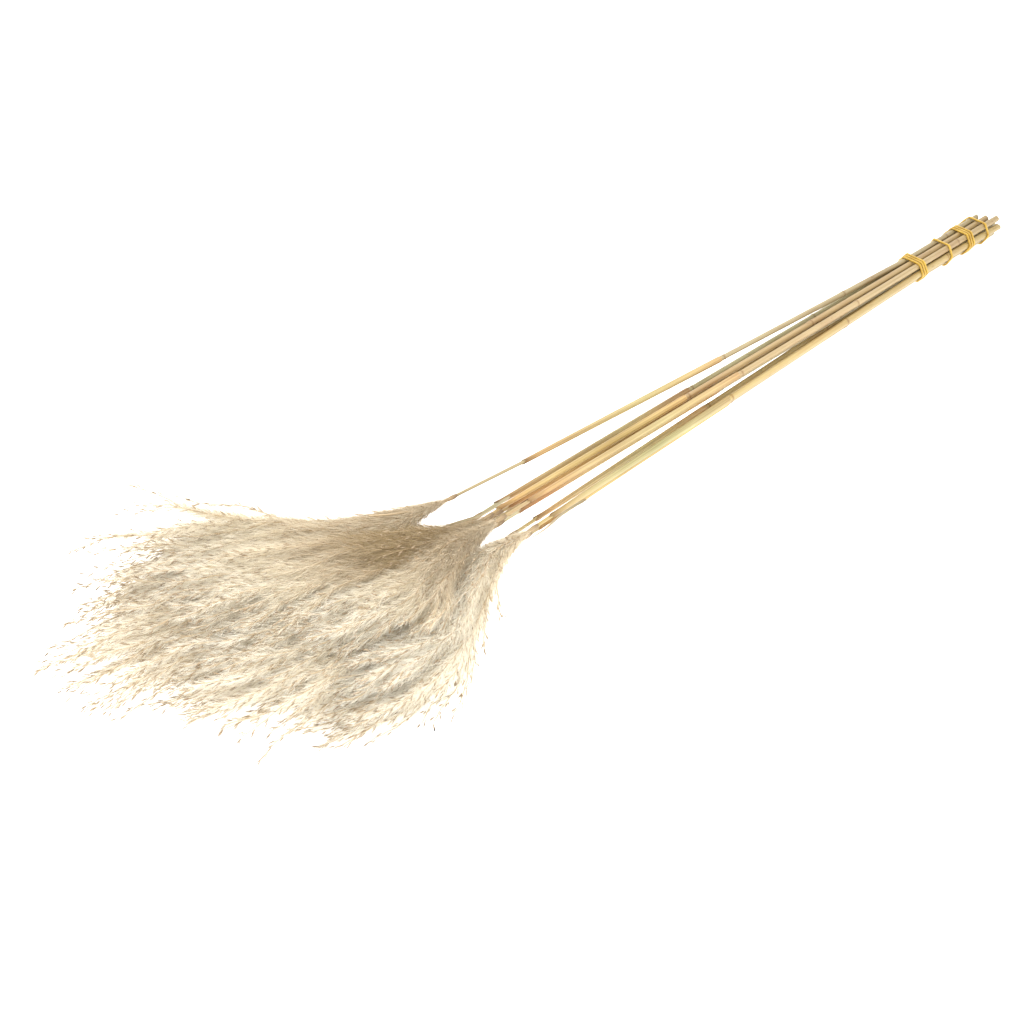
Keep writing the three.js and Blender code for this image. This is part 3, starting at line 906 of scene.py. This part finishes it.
def tube_along(curve, radii, sides):
    """Points (rings, sides, 3) of a tube round a curve, with a frame that doesn't twist."""
    tangent = unit(np.gradient(curve, axis=0))
    side = np.empty_like(curve)
    start = np.array([0, 0, 1.0]) if abs(tangent[0, 2]) < 0.9 else np.array([1.0, 0, 0])
    side[0] = unit(np.cross(tangent[0], start))
    for k in range(1, len(curve)):
        side[k] = unit(side[k - 1] - tangent[k] * np.dot(side[k - 1], tangent[k]))
    other = np.cross(tangent, side)
    angles = np.linspace(0, TAU, sides, endpoint=False)
    cosines = np.cos(angles)[None, :, None]
    sines = np.sin(angles)[None, :, None]
    ring = side[:, None, :] * cosines + other[:, None, :] * sines
    return curve[:, None, :] + radii[:, None, None] * ring


def stalk_lines(plume, curves):
    """The middle line and the radii of the rachis, whose foot swells over the culm's end, and of every
    raceme's stalk, which zigzags from one pair of spikelets to the next."""
    rachis = plume.rachis(np.linspace(-0.01, 0.3, 24))
    end_radius = plume.culm.radius(plume.culm.end)
    knob = 0.55 * MM * np.exp(-np.linspace(-1.2, 16, len(rachis)) ** 2)
    lines = [(rachis, np.linspace(1.05 * end_radius, 0.45 * MM, len(rachis)) + knob)]
    for curve in curves:
        count = int(curve_length(curve) / SPIKELET_STEP)
        where = np.linspace(0, 1, count)
        grid = np.linspace(0, 1, len(curve))
        fine = np.stack([np.interp(where, grid, curve[:, axis]) for axis in range(3)], axis=-1)
        zigzag = 0.22 * MM * (-1.0) ** np.arange(count)
        fine[1:-1, 1] += zigzag[1:-1]
        lines.append((fine, np.linspace(*STALK_RADIUS, count)))
    return lines


def stalk_piece(plume, curves, material):
    """The rachis and the thin stalks of the racemes."""
    sides = 5
    points, faces, tones = [], [], []
    total_points = 0
    for line, radii in stalk_lines(plume, curves):
        rings = tube_along(line, radii, sides)
        points.append(rings.reshape(-1, 3))
        faces.append(grid_faces(len(line), sides) + total_points)
        tones.append(np.repeat(np.linspace(0.02, 0.9, len(line)), sides))
        total_points += len(line) * sides
    points, faces, tones = np.concatenate(points), np.concatenate(faces), np.concatenate(tones)
    points[:, 2] = np.maximum(points[:, 2], LOWEST)
    mesh = mesh_from(f"plume_{plume.number}_stalks", points, faces, attributes={"tone": tones})
    around = np.tile(np.linspace(0.1, 0.9, sides), len(points) // sides)
    set_bake_map(mesh, faces, 0.02 + 0.96 * tones, around)
    return finish_piece(mesh, f"plume_{plume.number}", [material])


# ---- Rubber bands ----
def band_path(turns_along, tilt, culms):
    """The middle line of a strand wound tight round the culms, and the way outward at each of its points.
    Each turn hands over to the next behind the bundle, where the last crosses back over the others."""
    steps_per_turn = 120
    handover_share = 0.4
    turns = len(turns_along)
    turn_places = [CAD_BOX[1][0] - along for along in turns_along]
    centres, outs = [], []
    for k in range(turns * steps_per_turn):
        turn = k // steps_per_turn
        share = k / steps_per_turn - turn
        angle = TAU * (share + handover_share / 2)
        handover = np.clip((share - 1 + handover_share) / handover_share, 0, 1)
        following = turn_places[(turn + 1) % turns]
        x = turn_places[turn] + (following - turn_places[turn]) * smoothstep(handover, 0.1, 0.9)
        x = x - tilt * math.sin(angle)
        layer = 0.0
        if turn == turns - 1:
            away = np.abs(x - np.array(turn_places[1:-1])).min()
            over_turns = math.exp(-((away / (1.6 * STRAND_WIDTH)) ** 2))
            layer = over_turns * smoothstep(handover, 0, 0.1) * (1 - smoothstep(handover, 0.9, 1))
        out = np.array([0, math.cos(angle), math.sin(angle)])
        best = max(culms, key=lambda culm: culm.centre(x) @ out + culm.radius(x))
        offset = best.radius(x) + STRAND_CLEARANCE + STRAND_WIDTH * (0.42 + 0.9 * layer)
        centres.append(best.centre(x) + out * offset)
        outs.append(out)
    centres = np.array(centres)
    for _ in range(2):
        centres = (np.roll(centres, 1, axis=0) + 2 * centres + np.roll(centres, -1, axis=0)) / 4
    return centres, np.array(outs)


def band_piece(name, turns_along, tilt, culms, material):
    """A rubber band: a closed strand with a flattened, round-cornered section."""
    sides = 10
    centres, outs = band_path(turns_along, tilt, culms)
    tangent = unit(np.roll(centres, -1, axis=0) - np.roll(centres, 1, axis=0))
    side = unit(np.cross(outs, tangent))
    up = np.cross(tangent, side)
    angles = np.linspace(0, TAU, sides, endpoint=False)
    flat = np.sign(np.cos(angles)) * np.abs(np.cos(angles)) ** 0.6 * 0.42 * STRAND_WIDTH
    wide = np.sign(np.sin(angles)) * np.abs(np.sin(angles)) ** 0.6 * 0.5 * STRAND_WIDTH
    rings = centres[:, None] + up[:, None] * flat[None, :, None] + side[:, None] * wide[None, :, None]
    faces = grid_faces(len(rings), sides, closed=True)
    mesh = mesh_from(f"{name}_amber", rings.reshape(-1, 3), faces)
    return finish_piece(mesh, name, [material])


# ---- The bundle ----
SEED = 100                    # of the first stem, one more for each of the others
STRAW_SHADE = 0.88            # of the colours below on the culms
LEAF_SHADES = (1.1, 1.05)     # and of the light and the dark colour on the sheaths
STRAWS = [                    # light and dark colour of each culm
    ((0.53, 0.42, 0.22), (0.43, 0.31, 0.14)),
    ((0.56, 0.44, 0.20), (0.47, 0.32, 0.12)),
    ((0.50, 0.40, 0.20), (0.40, 0.29, 0.13)),
    ((0.56, 0.42, 0.17), (0.48, 0.30, 0.10)),
    ((0.60, 0.52, 0.31), (0.50, 0.39, 0.20)),
    ((0.49, 0.36, 0.16), (0.41, 0.26, 0.10)),
    ((0.46, 0.41, 0.22), (0.36, 0.31, 0.15)),
    ((0.54, 0.40, 0.20), (0.44, 0.28, 0.13)),
    ((0.51, 0.36, 0.16), (0.42, 0.26, 0.11)),
    ((0.46, 0.37, 0.20), (0.36, 0.26, 0.13)),
]
BLADES = [                    # index of the culm, start back from the sheath's mouth, length, bend and seed
    (8, 8 * MM, 62 * MM, (0.0, 7.0 * MM, 3.0 * MM), 71),
    (0, 34 * MM, 60 * MM, (0.0, -3.5 * MM, 1.5 * MM), 72),
]


def build_camera():
    """A camera that looks down at the bundle from beyond its plumes."""
    camera = bpy.data.cameras.new("camera")
    camera.lens = LENS
    camera.sensor_width = SENSOR
    eye = bpy.data.objects.new("camera", camera)
    bpy.context.scene.collection.objects.link(eye)
    back = Vector((
        math.sin(CAMERA_AZIMUTH) * math.cos(CAMERA_ELEVATION),
        -math.cos(CAMERA_AZIMUTH) * math.cos(CAMERA_ELEVATION),
        math.sin(CAMERA_ELEVATION),
    ))
    eye.location = CAMERA_TARGET + CAMERA_DISTANCE * back
    eye.rotation_euler = (-back).to_track_quat("-Z", "Y").to_euler()
    bpy.context.scene.camera = eye


def area_light(name, place, size, power):
    """A square light turned toward the bundle."""
    light = bpy.data.lights.new(name, "AREA")
    light.shape = "SQUARE"
    light.size = size
    light.energy = power
    lamp = bpy.data.objects.new(name, light)
    lamp.location = place
    lamp.rotation_euler = (LIT_POINT - Vector(place)).to_track_quat("-Z", "Y").to_euler()
    bpy.context.scene.collection.objects.link(lamp)


def build_studio():
    """A pale floor under a white sky, with three soft lights."""
    bpy.ops.mesh.primitive_plane_add(size=FLOOR_SIZE)
    floor = bpy.context.object
    floor.name = "floor"
    floor.data.materials.append(floor_material())
    world = bpy.data.worlds.new("studio")
    world.use_nodes = True
    background = world.node_tree.nodes["Background"]
    background.inputs["Color"].default_value = (1, 1, 1, 1)
    background.inputs["Strength"].default_value = SKY_STRENGTH
    bpy.context.scene.world = world
    for name, (place, size, power) in LIGHTS.items():
        area_light(name, place, size, power)
    bpy.context.scene.view_settings.view_transform = "Standard"


def build_bundle():
    """Every culm with its sheath and plume, the two dead leaf blades and the rubber bands."""
    pith = pith_material()
    hair = hair_material()
    spikelet = spikelet_material()
    stalk = stalk_material()
    rubber = rubber_material()
    culms = [Culm(number) for number in NUMBERS]
    dead_leaf = sheath_material("dead_leaf", (0.50, 0.43, 0.31), (0.36, 0.29, 0.19), 31.0)
    for index, back, length, away, seed in BLADES:
        blade_piece(culms[index], back, length, away, np.random.default_rng(seed), dead_leaf)
    for index, culm in enumerate(culms):
        random = np.random.default_rng(SEED + index)
        light, dark = (shaded(colour, STRAW_SHADE) for colour in STRAWS[index])
        culm_piece(culm, random, straw_material(f"straw_{culm.number}", light, dark, 1.7 * index), pith)
        leaf = [shaded(*pair) for pair in zip(STRAWS[(index + 3) % CULM_COUNT], LEAF_SHADES)]
        sheath_piece(culm, random, sheath_material(f"leaf_{culm.number}", *leaf, 2.3 * index))
        plume = Plume(culm.number, culm)
        curves = raceme_curves(plume, random)
        feet, headings, tones = spikelet_places(curves, random)
        stalk_piece(plume, curves, stalk)
        spikelet_piece(plume, feet, headings, tones, random, spikelet)
        hair_piece(plume, curves, random, hair)
    band_piece("rubber_band_waist", WAIST_TURNS, WAIST_TILT, culms, rubber)
    band_piece("rubber_band_end", END_TURNS, END_TILT, culms, rubber)


build_camera()
build_studio()
build_bundle()
